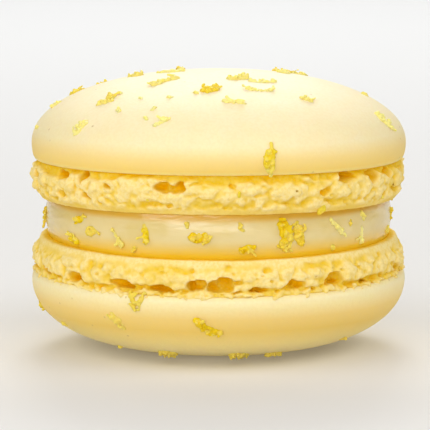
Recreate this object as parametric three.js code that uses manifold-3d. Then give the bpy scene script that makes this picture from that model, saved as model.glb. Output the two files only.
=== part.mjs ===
// A lemon macaron: two domed almond meringue shells with a disc of lemon cream between their flat
// sides, and strips of lemon zest on the shells and the cream.
//
// Millimetres, +Z up. The origin is the middle of the small flat spot that the macaron rests on.
// Longitudes run round the macaron from its front, -Y, towards +X. Levels run up a shell's foot,
// from 0 at the rim beside the cream to 1 at the crease where the smooth skin begins. Latitudes
// run over a shell's skin, from -90 degrees at the crease, by 0 at its widest ring, to 90 at the
// middle of the dome.

import * as THREE from 'three';
import { mergeVertices } from 'three/addons/utils/BufferGeometryUtils.js';
import Module from 'manifold-3d';

const wasm = await Module();
wasm.setup();

// Driving dimensions

const SKIN_RADIUS = 23.5;
const CREASE_RADIUS = 22.95;
const FOOT_RADIUS = 23.0;
const RIM_RADIUS = 22.4;
const RESTING_RADIUS = 8;
const FILLING_RADIUS = 21.35;
const FILLING_BULGE = 0.4;
const FILLING_WAVES = [
  { turns: 3, depth: 0.12, phase: 1 },
  { turns: 7, depth: 0.07, phase: 2 },
];

const LOWER_DOME_HEIGHT = 9.4;
const LOWER_FOOT_HEIGHT = 4.3;
const FILLING_HEIGHT = 5.6;
const UPPER_FOOT_HEIGHT = 4.85;
const UPPER_DOME_HEIGHT = 10.3;

const LOWER_RIM_Z = LOWER_DOME_HEIGHT + LOWER_FOOT_HEIGHT;
const UPPER_RIM_Z = LOWER_RIM_Z + FILLING_HEIGHT;

// How finely the round forms are divided
const SHELL_SEGMENTS = 132;
const FILLING_SEGMENTS = 66;
const SKIN_ROWS = 7;
const LIP_LATITUDE = -40;
const FILLING_ROWS = 5;
const FOOT_LEVELS = [0, 0.08, 0.22, 0.36, 0.5, 0.64, 0.77, 0.89, 1];

// The ruffled foot: two courses of lumps and, under the skin, a course of hollows. A course goes
// round the foot at its level, and each bump strays along it by a share of the spacing, and up or
// down by half of rise.
const FOOT_FULLNESS = 0.7;
const LUMP = { across: [1.1, 1.8], tall: [0.75, 1.05], height: [0.3, 0.65] };
const LUMP_COURSES = [
  { ...LUMP, level: 0.3, count: 41, stray: 0.5, rise: 0.1, firstDraw: 0 },
  { ...LUMP, level: 0.58, count: 37, stray: 0.5, rise: 0.1, firstDraw: 1000 },
];
const HOLLOW_COURSE = {
  across: [0.6, 1.3],
  tall: [0.4, 0.65],
  height: [0.4, 1.1],
  level: 0.83,
  count: 30,
  stray: 0.6,
  rise: 0.08,
  firstDraw: 5000,
};

// Each lump, hollow or strip has this many numbers of its own to draw with
const DRAWS_EACH = 10;

// Zest strips, cut thin and laid with their underside a little way into the surface
const ZEST_THICKNESS = 0.42;
const ZEST_SINK = 0.16;
const ZEST_END_WIDTH = 0.7;
const ZEST_BEND = 0.09;
const ZEST_LIFT = 0.03;
const ZEST_CLEARANCE = 0.35;

// The two shells. Above its widest ring a dome is a superellipse, whose two exponents are the
// shoulder's and the crown's. The largest hollows of the foot are given one by one: longitude,
// level, half width, half height and depth.
const lowerShell = {
  seed: 11,
  rimZ: LOWER_RIM_Z,
  up: -1,
  footHeight: LOWER_FOOT_HEIGHT,
  domeHeight: LOWER_DOME_HEIGHT,
  lipHeight: 1.15,
  shoulder: 3.3,
  crown: 1.85,
  crownRadius: RESTING_RADIUS,
  hollows: [
    [-59, 0.85, 1.2, 0.45, 1.2],
    [-47, 0.8, 1.3, 0.6, 1.6],
    [-30, 0.72, 1.7, 0.8, 2.0],
    [-18, 0.84, 1.5, 0.5, 1.5],
    [-7, 0.78, 1.2, 0.75, 2.0],
    [1, 0.78, 1.9, 0.85, 2.3],
    [23, 0.75, 1.0, 0.65, 1.4],
    [35, 0.75, 1.5, 0.65, 1.7],
    [46, 0.88, 0.7, 0.4, 1.2],
    [65, 0.84, 0.8, 0.5, 1.0],
  ],
};

const upperShell = {
  seed: 47,
  rimZ: UPPER_RIM_Z,
  up: 1,
  footHeight: UPPER_FOOT_HEIGHT,
  domeHeight: UPPER_DOME_HEIGHT,
  lipHeight: 1.7,
  shoulder: 2.25,
  crown: 1.97,
  crownRadius: 0,
  hollows: [
    [-54, 0.8, 1.0, 0.55, 1.5],
    [-43, 0.8, 0.8, 0.5, 1.3],
    [-35, 0.55, 0.8, 0.5, 0.9],
    [-16.5, 0.66, 1.1, 0.75, 2.0],
    [-12, 0.66, 1.0, 0.7, 1.9],
    [32, 0.5, 0.8, 0.6, 1.0],
    [40.5, 0.78, 1.5, 0.6, 1.9],
    [54, 0.72, 0.9, 0.65, 1.3],
    [65, 0.7, 0.9, 0.6, 1.2],
  ],
};

// Zest on the front half, as it fell: longitude, latitude (on the cream, a height over the lower
// rim), heading, length and width. Heading 0 runs round the macaron, and 90 towards the middle of
// a dome or up the cream.
const upperZest = [
  [-100, 66, 60, 2.2, 1.3],
  [-101, 77, 90, 3.6, 0.9],
  [-46, 69, 90, 4.6, 1.0],
  [-5, 61, 30, 2.0, 1.4],
  [-52, 43, 45, 2.4, 0.8],
  [-54, 48, 150, 1.7, 1.1],
  [-88, 32, 90, 1.4, 1.0],
  [-50, 22, 80, 2.4, 1.1],
  [-20, 31, 46, 2.2, 0.8],
  [22, 76, 20, 3.2, 1.5],
  [36, 69, -20, 3.6, 0.7],
  [23, 60, -20, 3.4, 0.7],
  [7, 49, -18, 3.0, 0.7],
  [108, 71, 30, 1.9, 1.2],
  [118, 63, 60, 2.0, 1.0],
  [41, 48, -70, 1.7, 0.8],
  [69, 22, -70, 3.1, 1.2],
  [15, 4, 85, 2.9, 1.3],
];
const fillingZest = [
  [-86, 2.9, 85, 2.0, 1.0],
  [-52, 3.9, 30, 2.0, 0.8],
  [-46, 2.7, 5, 2.2, 1.0],
  [-56, 1.3, -25, 2.5, 0.9],
  [-35, 2.3, -60, 2.8, 0.5],
  [-24, 2.9, -85, 2.6, 0.9],
  [-6, 2.7, 0, 2.9, 1.1],
  [9, 1.4, 10, 2.1, 0.9],
  [22, 3.0, -80, 4.0, 1.2],
  [27, 2.6, -60, 2.0, 0.8],
  [42, 3.2, -42, 3.4, 0.6],
  [54, 1.7, -88, 2.2, 0.7],
  [86, 3.1, 90, 1.7, 0.9],
  [78, 1.2, 50, 1.2, 0.8],
];
const lowerZest = [
  [-26, 5, 75, 2.4, 0.6],
  [-23, 7, 120, 1.9, 0.6],
  [-32.5, 18, 62, 2.6, 0.9],
  [-3.5, 21, 35, 4.2, 1.0],
  [-22, 57, 60, 2.2, 1.3],
  [9, 58, 20, 2.4, 1.2],
  [26, 60, 0, 2.1, 0.9],
  [-78, 21, 90, 1.3, 0.8],
];

// The zest behind is scattered by rule, over the longitudes that the lists leave bare. A strip
// longer than LONG_ZEST has one bend more than the others.
const BACK = { from: 128, to: 262, stray: 0.6, length: [1.7, 3.6], width: [0.7, 1.2] };
const LOWER_BACK_ZEST = { ...BACK, count: 6, stations: [12, 60], firstDraw: 300 };
const FILLING_BACK_ZEST = { ...BACK, count: 10, stations: [1, 4.6], firstDraw: 500 };
const UPPER_BACK_ZEST = { ...BACK, count: 10, stations: [18, 74], firstDraw: 700 };
const LONG_ZEST = 3;

// Materials

const skin = new THREE.MeshStandardMaterial({ color: '#f7e2a2', roughness: 0.62, metalness: 0 });
const cream = new THREE.MeshStandardMaterial({ color: '#ecd58e', roughness: 0.28, metalness: 0 });

// Shared helpers

// A repeatable draw between 0 and 1 for a whole number
function draw(number) {
  const wave = Math.sin(number * 12.9898) * 43758.5453;
  return wave - Math.floor(wave);
}

function drawBetween([low, high], number) {
  return low + (high - low) * draw(number);
}

function toSolid(geometry) {
  const bare = geometry.clone();
  bare.deleteAttribute('normal');
  bare.deleteAttribute('uv');
  const merged = mergeVertices(bare);
  return new wasm.Manifold(new wasm.Mesh({
    numProp: 3,
    vertProperties: new Float32Array(merged.attributes.position.array),
    triVerts: new Uint32Array(merged.index.array),
  }));
}

function toGeometry(solid) {
  const mesh = solid.getMesh();
  const geometry = new THREE.BufferGeometry();
  geometry.setAttribute('position', new THREE.BufferAttribute(mesh.vertProperties, 3));
  geometry.setIndex(new THREE.BufferAttribute(mesh.triVerts, 1));
  geometry.computeVertexNormals();
  return geometry;
}

// A profile of [radius, height] points, from the bottom up, turned about the Z axis
function turned(profile, segments) {
  const points = profile.map(([radius, height]) => new THREE.Vector2(radius, height));
  return new THREE.LatheGeometry(points, segments).rotateX(Math.PI / 2);
}

// Moves each point of a turned form in or out, by push(longitude, height)
function pushRadially(geometry, push) {
  const points = geometry.attributes.position;
  for (let i = 0; i < points.count; i++) {
    const x = points.getX(i);
    const y = points.getY(i);
    const radius = Math.hypot(x, y);
    if (radius > 0) {
      const scale = 1 + push(Math.atan2(x, -y), points.getZ(i)) / radius;
      points.setXY(i, x * scale, y * scale);
    }
  }
  return geometry;
}

// The angle between two longitudes, the shorter way round
function longitudeGap(a, b) {
  const turn = Math.abs(a - b) % (2 * Math.PI);
  return Math.min(turn, 2 * Math.PI - turn);
}

// Shells

function crownLatitude(shell) {
  return Math.acos((shell.crownRadius / SKIN_RADIUS) ** (shell.shoulder / 2));
}

// Radius and height over the rim at a latitude of the skin: a quarter ellipse under the widest
// ring, and the dome over it
function skinPoint(shell, latitude) {
  const widest = shell.footHeight + shell.lipHeight;
  if (latitude < 0) {
    return [
      THREE.MathUtils.lerp(CREASE_RADIUS, SKIN_RADIUS, Math.cos(latitude)),
      widest + shell.lipHeight * Math.sin(latitude),
    ];
  }
  const rise = (shell.domeHeight - shell.lipHeight)
    / Math.sin(crownLatitude(shell)) ** (2 / shell.crown);
  return [
    SKIN_RADIUS * Math.cos(latitude) ** (2 / shell.shoulder),
    widest + rise * Math.sin(latitude) ** (2 / shell.crown),
  ];
}

// The foot swells from its rim and draws in again to the crease
function footPoint(shell, level) {
  const start = THREE.MathUtils.lerp(RIM_RADIUS, CREASE_RADIUS, level);
  const swell = FOOT_RADIUS - (RIM_RADIUS + CREASE_RADIUS) / 2;
  return [
    start + swell * Math.sin(Math.PI * level) ** FOOT_FULLNESS,
    shell.footHeight * level,
  ];
}

// From the middle of the rim's flat side, out, up the foot and over the skin to the crown
function shellProfile(shell) {
  const profile = [[0, 0], ...FOOT_LEVELS.map((level) => footPoint(shell, level))];
  profile.push(skinPoint(shell, THREE.MathUtils.degToRad(LIP_LATITUDE)));
  for (let row = 0; row <= SKIN_ROWS; row++) {
    profile.push(skinPoint(shell, crownLatitude(shell) * (row / SKIN_ROWS)));
  }
  profile.push([0, profile.at(-1)[1]]);
  return shell.crownRadius > 0 ? profile : profile.slice(0, -1);
}

// The bumps of one course round a shell's foot
function courseOf(shell, course) {
  return Array.from({ length: course.count }, (_, i) => {
    const number = shell.seed + course.firstDraw + DRAWS_EACH * i;
    return {
      longitude: (2 * Math.PI * (i + course.stray * draw(number + 1))) / course.count,
      level: course.level + course.rise * (draw(number + 2) - 0.5),
      across: drawBetween(course.across, number + 3),
      tall: drawBetween(course.tall, number + 4),
      height: drawBetween(course.height, number + 5),
    };
  });
}

function largestHollows(shell) {
  return shell.hollows.map(([degrees, level, across, tall, height]) => ({
    longitude: THREE.MathUtils.degToRad(degrees),
    level,
    across,
    tall,
    height,
  }));
}

// The highest of some round-topped bumps at a place on the foot
function highestBump(bumps, shell, longitude, level) {
  let highest = 0;
  for (const bump of bumps) {
    const sideways = (longitudeGap(longitude, bump.longitude) * FOOT_RADIUS) / bump.across;
    const upwards = ((level - bump.level) * shell.footHeight) / bump.tall;
    const reach = Math.min(1, Math.hypot(sideways, upwards));
    highest = Math.max(highest, bump.height * Math.sqrt(1 - reach * reach));
  }
  return highest;
}

function shellGeometry(shell) {
  const lumps = LUMP_COURSES.flatMap((course) => courseOf(shell, course));
  const hollows = [...largestHollows(shell), ...courseOf(shell, HOLLOW_COURSE)];
  const profile = shellProfile(shell).map(([radius, height]) => [
    radius,
    shell.rimZ + shell.up * height,
  ]);
  const geometry = turned(shell.up > 0 ? profile : profile.reverse(), SHELL_SEGMENTS);
  return pushRadially(geometry, (longitude, z) => {
    const level = (shell.up * (z - shell.rimZ)) / shell.footHeight;
    if (level <= FOOT_LEVELS[1] || level >= 1) {
      return 0;
    }
    return highestBump(lumps, shell, longitude, level)
      - highestBump(hollows, shell, longitude, level);
  });
}

// Filling

function fillingRadius(height) {
  return FILLING_RADIUS + FILLING_BULGE * Math.sin((Math.PI * height) / FILLING_HEIGHT);
}

// The cream's edge wanders a little in and out, but not where it meets the shells
function fillingWave(longitude, height) {
  const wave = FILLING_WAVES.reduce(
    (sum, { turns, depth, phase }) => sum + depth * Math.sin(turns * longitude + phase),
    0,
  );
  return wave * Math.sin((Math.PI * height) / FILLING_HEIGHT);
}

function fillingGeometry() {
  const profile = [[0, LOWER_RIM_Z]];
  for (let row = 0; row <= FILLING_ROWS; row++) {
    const height = (FILLING_HEIGHT * row) / FILLING_ROWS;
    profile.push([fillingRadius(height), LOWER_RIM_Z + height]);
  }
  profile.push([0, UPPER_RIM_Z]);
  return pushRadially(
    turned(profile, FILLING_SEGMENTS),
    (longitude, z) => fillingWave(longitude, z - LOWER_RIM_Z),
  );
}

// Zest

// A surface to lie on has at(longitude, station), a station being a latitude or a height, and up,
// 1 or -1, for the way that its stations rise. This gives the place, the directions round, up and
// out of the surface there, and how fast the place moves with longitude and station.
function groundAt(surface, longitude, station) {
  const step = 0.001;
  const place = surface.at(longitude, station);
  const round = surface.at(longitude + step, station).sub(place);
  const upwards = surface.at(longitude, station + step).sub(place);
  const speeds = [round.length() / step, upwards.length() / step];
  round.normalize();
  upwards.normalize();
  const out = round.clone().cross(upwards).multiplyScalar(surface.up);
  return { place, round, upwards, out, speeds };
}

// A strip of four-sided sections that follows the surface, bent sideways and lifting at its ends
function zestStrip(surface, longitude, station, heading, length, width, number) {
  const [roundSpeed, upSpeed] = groundAt(surface, longitude, station).speeds;
  const bend = ZEST_BEND * (draw(number) < 0.5 ? -1 : 1);
  const sections = length > LONG_ZEST ? 4 : 3;
  const top = ZEST_THICKNESS - ZEST_SINK;
  const corners = [];
  for (let i = 0; i < sections; i++) {
    const share = i / (sections - 1) - 0.5;
    const run = share * length;
    const half = (width / 2) * THREE.MathUtils.lerp(1, ZEST_END_WIDTH, 2 * Math.abs(share));
    const { place, round, upwards, out } = groundAt(
      surface,
      longitude + (run * Math.cos(heading)) / roundSpeed,
      station + (run * Math.sin(heading)) / upSpeed,
    );
    const along = round.multiplyScalar(Math.cos(heading))
      .addScaledVector(upwards, Math.sin(heading));
    const aside = out.clone().cross(along);
    place.addScaledVector(aside, bend * run * run).addScaledVector(out, ZEST_LIFT * run * run);
    const section = [[-half, -ZEST_SINK], [half, -ZEST_SINK], [half, top], [-half, top]];
    for (const [side, height] of section) {
      corners.push(place.clone().addScaledVector(aside, side).addScaledVector(out, height));
    }
  }
  const faces = [0, 2, 1, 0, 3, 2];
  for (let i = 0; i < sections - 1; i++) {
    for (let side = 0; side < 4; side++) {
      const a = 4 * i + side;
      const b = 4 * i + ((side + 1) % 4);
      faces.push(a, b, b + 4, a, b + 4, a + 4);
    }
  }
  const last = 4 * (sections - 1);
  faces.push(last, last + 1, last + 2, last, last + 2, last + 3);
  const geometry = new THREE.BufferGeometry().setFromPoints(corners);
  geometry.setIndex(faces);
  return geometry;
}

// Strips on the back: spread evenly in longitude, with the rest drawn
function backZest(rule) {
  return Array.from({ length: rule.count }, (_, i) => {
    const number = rule.firstDraw + DRAWS_EACH * i;
    const spread = (i + 0.5 + rule.stray * (draw(number + 1) - 0.5)) / rule.count;
    return [
      THREE.MathUtils.lerp(rule.from, rule.to, spread),
      drawBetween(rule.stations, number + 2),
      180 * draw(number + 3),
      drawBetween(rule.length, number + 4),
      drawBetween(rule.width, number + 5),
    ];
  });
}

function withZest(geometry, surface, list) {
  const solid = list.reduce((joined, [longitude, station, heading, length, width], number) => {
    const strip = zestStrip(
      surface,
      THREE.MathUtils.degToRad(longitude),
      station,
      THREE.MathUtils.degToRad(heading),
      length,
      width,
      number,
    );
    return joined.add(toSolid(strip));
  }, toSolid(geometry));
  return toGeometry(solid);
}

function pointAt(longitude, [radius, z]) {
  return new THREE.Vector3(radius * Math.sin(longitude), -radius * Math.cos(longitude), z);
}

function shellWithZest(shell, list) {
  const surface = {
    up: shell.up,
    at: (longitude, latitude) => {
      const [radius, height] = skinPoint(shell, latitude);
      return pointAt(longitude, [radius, shell.rimZ + shell.up * height]);
    },
  };
  const inRadians = list.map(([longitude, latitude, ...rest]) => [
    longitude,
    THREE.MathUtils.degToRad(latitude),
    ...rest,
  ]);
  return withZest(shellGeometry(shell), surface, inRadians);
}

// A strip on the cream is moved up or down until it is clear of both rims
function fillingWithZest(list) {
  const surface = {
    up: 1,
    at: (longitude, height) => pointAt(longitude, [
      fillingRadius(height) + fillingWave(longitude, height),
      LOWER_RIM_Z + height,
    ]),
  };
  const clear = list.map(([longitude, height, degrees, length, width]) => {
    const heading = THREE.MathUtils.degToRad(degrees);
    const reach = (length * Math.abs(Math.sin(heading)) + width * Math.abs(Math.cos(heading))) / 2;
    const margin = Math.min(FILLING_HEIGHT / 2, reach + ZEST_CLEARANCE);
    const moved = THREE.MathUtils.clamp(height, margin, FILLING_HEIGHT - margin);
    return [longitude, moved, degrees, length, width];
  });
  return withZest(fillingGeometry(), surface, clear);
}

// The macaron, put together from the plate up

function piece(name, geometry, material) {
  const mesh = new THREE.Mesh(geometry, material);
  mesh.name = name;
  return mesh;
}

const lower = shellWithZest(lowerShell, [...lowerZest, ...backZest(LOWER_BACK_ZEST)]);
const filling = fillingWithZest([...fillingZest, ...backZest(FILLING_BACK_ZEST)]);
const upper = shellWithZest(upperShell, [...upperZest, ...backZest(UPPER_BACK_ZEST)]);

const macaron = new THREE.Group();
macaron.add(
  piece('lower_shell', lower, skin),
  piece('filling', filling, cream),
  piece('upper_shell', upper, skin),
);

export default macaron;
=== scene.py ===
import math

import bpy
import numpy as np
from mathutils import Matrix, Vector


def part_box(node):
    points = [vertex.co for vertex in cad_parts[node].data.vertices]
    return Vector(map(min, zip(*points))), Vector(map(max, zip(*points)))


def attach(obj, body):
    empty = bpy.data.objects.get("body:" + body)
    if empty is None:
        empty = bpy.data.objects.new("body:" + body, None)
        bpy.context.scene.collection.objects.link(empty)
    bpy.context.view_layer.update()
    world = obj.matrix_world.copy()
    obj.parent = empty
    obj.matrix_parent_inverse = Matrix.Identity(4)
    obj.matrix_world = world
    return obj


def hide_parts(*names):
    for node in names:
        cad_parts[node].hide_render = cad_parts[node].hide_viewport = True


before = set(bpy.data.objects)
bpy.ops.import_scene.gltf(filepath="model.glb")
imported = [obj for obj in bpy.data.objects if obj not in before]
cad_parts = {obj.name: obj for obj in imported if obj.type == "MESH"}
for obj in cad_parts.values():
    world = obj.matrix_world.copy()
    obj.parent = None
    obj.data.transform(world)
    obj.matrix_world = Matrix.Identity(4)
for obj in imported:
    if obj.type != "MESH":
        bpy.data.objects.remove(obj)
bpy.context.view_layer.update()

import openvdb as vdb
from mathutils import Vector


# The two shells' bodies: domed discs of almond meringue, the lower one dome down. They are piped as
# rounds and baked, so that a smooth skin sets first and what is under it rises into a ruffled foot.
# A body here is the dome and the core that its foot wraps.

# Lengths are millimetres, and longitude runs from the front, -Y, towards +X
MM = 0.001
LOWER_RIM_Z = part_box("filling")[0].z / MM
UPPER_RIM_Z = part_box("filling")[1].z / MM
SKIN_RADIUS = 23.5
CREASE_RADIUS = 22.95
CORE_RADIUS = 20.5
# The shells droop a little towards the cream at the two sides, and less the further over the crease
RIM_DROOP = 0.35
DROOP_FADE = 4
# Shoulder and crown say how square the dome is at its side and at its top
LOWER_SHELL = {
    "name": "lower_shell", "seed": 11, "rim_z": LOWER_RIM_Z, "up": -1, "foot_height": 4.3,
    "dome_height": 9.4, "lip_height": 1.15, "shoulder": 3.3, "crown": 1.85, "crown_radius": 8.0,
}
UPPER_SHELL = {
    "name": "upper_shell", "seed": 47, "rim_z": UPPER_RIM_Z, "up": 1, "foot_height": 4.85,
    "dome_height": 10.3, "lip_height": 1.7, "shoulder": 2.25, "crown": 1.97, "crown_radius": 0.0,
}
SKIN_SEGMENTS = 448
SKIN_ROWS = 112
LIP_ROWS = 14
# How much the rows crowd towards the middle of the dome
ROW_CROWDING = 1.15
# Under the lip the crust turns in to the core: radius, and height over the top of the foot
CRUST_TURN = ((22.4, 0.06), (21.8, 0.02), (CORE_RADIUS, -0.3))
CORE_BOTTOM = 0.15
# The dome isn't quite true: it swells and dips by hundredths of a millimetre, less near the rim
SWELL_DEPTH = 0.05
SWELL_WIDTH = 6.0
DIMPLE_DEPTH = 0.015
DIMPLE_WIDTH = 1.7
DIMPLE_SEED = 5
SWELL_FROM = 1
SWELL_FADE = 4


def crown_latitude(shell):
    """Latitude where the dome ends: 90 degrees, or less where it has a resting flat."""
    return math.acos((shell["crown_radius"] / SKIN_RADIUS) ** (shell["shoulder"] / 2))


def skin_point(shell, latitude):
    """Radius and height over the rim at a latitude: -90 degrees at the crease, 0 at the widest."""
    widest = shell["foot_height"] + shell["lip_height"]
    under = np.minimum(latitude, 0)
    over = np.maximum(latitude, 0)
    rise = (shell["dome_height"] - shell["lip_height"]) / math.sin(crown_latitude(shell)) ** (
        2 / shell["crown"]
    )
    radius = np.where(
        latitude < 0,
        CREASE_RADIUS + (SKIN_RADIUS - CREASE_RADIUS) * np.cos(under),
        SKIN_RADIUS * np.maximum(np.cos(over), 0) ** (2 / shell["shoulder"]),
    )
    height = np.where(
        latitude < 0,
        widest + shell["lip_height"] * np.sin(under),
        widest + rise * np.maximum(np.sin(over), 0) ** (2 / shell["crown"]),
    )
    return radius, height


def place(longitude, radius, z):
    """Points in millimetres from longitude, radius and height."""
    ways = np.broadcast_arrays(radius * np.sin(longitude), -radius * np.cos(longitude), z)
    return np.stack(ways, axis=-1)


def rim_droop(longitude):
    """How far a rim droops: nothing in front and behind, and most at the two sides."""
    return RIM_DROOP * (1 - np.cos(2 * longitude)) / 2


def droop_share(shell, height):
    """The share of the rim's droop that a height over the rim takes part in."""
    return np.clip(1 - (height - shell["foot_height"]) / DROOP_FADE, 0, 1)


def drooped(points, shell, share):
    """Moves a shell's points towards the cream by a share of the rim's droop."""
    moved = points.copy()
    longitude = np.arctan2(points[..., 0], -points[..., 1])
    moved[..., 2] -= shell["up"] * rim_droop(longitude) * share
    return moved


def new_piece(name, points, faces, material, node):
    """A mesh of points in millimetres, smooth, riding with the macaron in place of a CAD node."""
    mesh = bpy.data.meshes.new(name)
    mesh.from_pydata((points * MM).tolist(), [], faces)
    mesh.polygons.foreach_set("use_smooth", [True] * len(mesh.polygons))
    mesh.validate()
    mesh.materials.append(material)
    piece = bpy.data.objects.new(name, mesh)
    bpy.context.scene.collection.objects.link(piece)
    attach(piece, "root")
    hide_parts(node)
    return piece


def set_mask(piece, name, values):
    """Keeps a number for each vertex, for the material to read."""
    mask = piece.data.attributes.new(name, "FLOAT", "POINT")
    mask.data.foreach_set("value", np.asarray(values, np.float32))


def lathe_faces(rows, segments):
    """Quads between rows of points, closed by a fan to one point at each end of the profile."""
    faces = []
    for row in range(rows - 1):
        for i in range(segments):
            j = (i + 1) % segments
            a = row * segments
            faces.append((a + i, a + j, a + segments + j, a + segments + i))
    first = rows * segments
    last = (rows - 1) * segments
    for i in range(segments):
        j = (i + 1) % segments
        faces.append((first, j, i))
        faces.append((first + 1, last + i, last + j))
    return faces


def hashed(cell, seed):
    """A repeatable whole number for each cell of a grid."""
    x, y, z = (cell * (73856093, 19349663, 83492791)).T
    return (x ^ y ^ z ^ seed * 2654435761) & 0xFFFFFF


def next_draw(number):
    """The next number in a repeatable row, and the draw from 0 to 65535 that it gives."""
    number = (number * 1103515245 + 12345) & 0x7FFFFFFF
    return number, (number >> 8) & 0xFFFF


def corner_shares(share):
    """The eight corners of the cells round points, and how much each corner counts."""
    for step in np.ndindex(2, 2, 2):
        yield step, np.where(step, share, 1 - share).prod(axis=1)


def lattice_noise(points, size, seed):
    """Smooth noise from -1 to 1 with bumps of a given size, from values drawn at grid corners."""
    scaled = points / size
    corner = np.floor(scaled).astype(np.int64)
    blend = scaled - corner
    blend = blend * blend * (3 - 2 * blend)
    total = np.zeros(len(points))
    for step, share in corner_shares(blend):
        _, value = next_draw(hashed(corner + step, seed))
        total += share * (value / 0x7FFF - 1)
    return total


def add(tree, kind, settings=None, **inputs):
    """Adds a node and sets its inputs, each by name or as _number, to a value or an output."""
    node = tree.nodes.new(kind)
    for key, value in (settings or {}).items():
        setattr(node, key, value)
    for key, value in inputs.items():
        socket = node.inputs[int(key[1:])] if key[1:].isdigit() else node.inputs[key.replace("_", " ")]
        if isinstance(value, bpy.types.NodeSocket):
            tree.links.new(value, socket)
        else:
            socket.default_value = value
    return node


def made_material(name, **uniform):
    """A material with its Principled BSDF, and what is the same all over set on that shader."""
    material = bpy.data.materials.new(name)
    material.use_nodes = True
    tree = material.node_tree
    tree.nodes.clear()
    shader = add(tree, "ShaderNodeBsdfPrincipled", None, **uniform)
    add(tree, "ShaderNodeOutputMaterial", None, Surface=shader.outputs[0])
    return material, tree, shader


def dress(tree, shader, colour, height, strength, distance):
    """Gives a shader its colour, and a bump of a height that is distance metres at most."""
    bump = add(tree, "ShaderNodeBump", None, Strength=strength, Distance=distance, Height=height)
    tree.links.new(colour, shader.inputs["Base Color"])
    tree.links.new(bump.outputs[0], shader.inputs["Normal"])


def attribute(tree, name):
    """The number that set_mask keeps for each vertex."""
    return add(tree, "ShaderNodeAttribute", {"attribute_name": name}).outputs["Fac"]


def mixed(tree, share, first, second):
    """A colour between two, by share."""
    node = add(tree, "ShaderNodeMix", {"data_type": "RGBA"}, _0=share, _6=first, _7=second)
    return node.outputs[2]


def ramped(tree, value, stops):
    """A colour that runs with a value through (value, colour) stops."""
    node = add(tree, "ShaderNodeValToRGB", None, Fac=value)
    ramp = node.color_ramp
    ramp.elements.remove(ramp.elements[1])
    ramp.elements[0].position = stops[0][0]
    ramp.elements[0].color = (*stops[0][1], 1)
    for position, colour in stops[1:]:
        ramp.elements.new(position).color = (*colour, 1)
    return node.outputs[0]


def ranged(tree, value, low, high, to_low=0.0, to_high=1.0):
    """A value mapped smoothly from one range to another."""
    node = add(tree, "ShaderNodeMapRange", {"interpolation_type": "SMOOTHSTEP"},
               _0=value, _1=low, _2=high, _3=to_low, _4=to_high)
    return node.outputs[0]


def maths(tree, operation, first, second):
    return add(tree, "ShaderNodeMath", {"operation": operation}, _0=first, _1=second).outputs[0]


def new_group(name, inputs, outputs):
    """An empty shader node group with named number inputs and outputs."""
    group = bpy.data.node_groups.new(name, "ShaderNodeTree")
    for label, value in inputs.items():
        socket = group.interface.new_socket(label, in_out="INPUT", socket_type="NodeSocketFloat")
        socket.default_value = value
    for label in outputs:
        group.interface.new_socket(label, in_out="OUTPUT", socket_type="NodeSocketFloat")
    return group, group.nodes.new("NodeGroupInput"), group.nodes.new("NodeGroupOutput")


def ground_almond():
    """Almond in the meringue: sparse dots, coarse and fine, and a slight mottle."""
    group, inside, outside = new_group(
        "ground_almond", {"Size": 0.001, "Share": 0.1}, ("Dots", "Mottle", "Grain")
    )
    where = add(group, "ShaderNodeTexCoord").outputs["Object"]
    scale = maths(group, "DIVIDE", 1.0, inside.outputs["Size"])
    cells = add(group, "ShaderNodeTexVoronoi", {"feature": "F1"}, Vector=where, Scale=scale)
    chance = add(group, "ShaderNodeSeparateColor", None, _0=cells.outputs["Color"]).outputs[0]
    chosen = maths(group, "LESS_THAN", chance, inside.outputs["Share"])
    near = ranged(group, cells.outputs["Distance"], 0.16, 0.05)
    dots = maths(group, "MULTIPLY", chosen, near)
    group.links.new(dots, outside.inputs["Dots"])
    mottle = add(group, "ShaderNodeTexNoise", None, Vector=where, Scale=220.0, Detail=3.0)
    group.links.new(mottle.outputs[0], outside.inputs["Mottle"])
    grain = add(group, "ShaderNodeTexNoise", None, Vector=where, Scale=2600.0, Detail=2.0)
    group.links.new(grain.outputs[0], outside.inputs["Grain"])
    return group


almond = ground_almond()


# Colours over the height mask, 0 at the crease and 1 at the middle of the dome, with painted light and
# shade in them: golden where the skin turns in, away from the light, pale over the lit dome; the lower
# shell is palest at its lip, which faces up into the light, golden down its shaded side, and paler
# again at its bottom, which the table lights
UPPER_SKIN_COLOURS = (
    (0.0, (0.96, 0.77, 0.28)), (0.05, (0.92, 0.65, 0.16)), (0.18, (0.94, 0.71, 0.27)),
    (0.33, (0.97, 0.83, 0.50)), (1.0, (0.98, 0.86, 0.59)),
)
LOWER_SKIN_COLOURS = (
    (0.0, (0.97, 0.80, 0.38)), (0.06, (0.98, 0.85, 0.51)), (0.14, (0.97, 0.81, 0.42)),
    (0.30, (0.94, 0.68, 0.22)), (0.47, (0.91, 0.64, 0.15)), (0.66, (0.97, 0.78, 0.30)),
    (0.85, (0.98, 0.85, 0.47)),
)
SKIN_MOTTLE = (0.93, 0.72, 0.24, 1)
SKIN_GRAIN = (0.86, 0.64, 0.25, 1)
SKIN_ALMOND = (0.60, 0.41, 0.16, 1)


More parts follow.
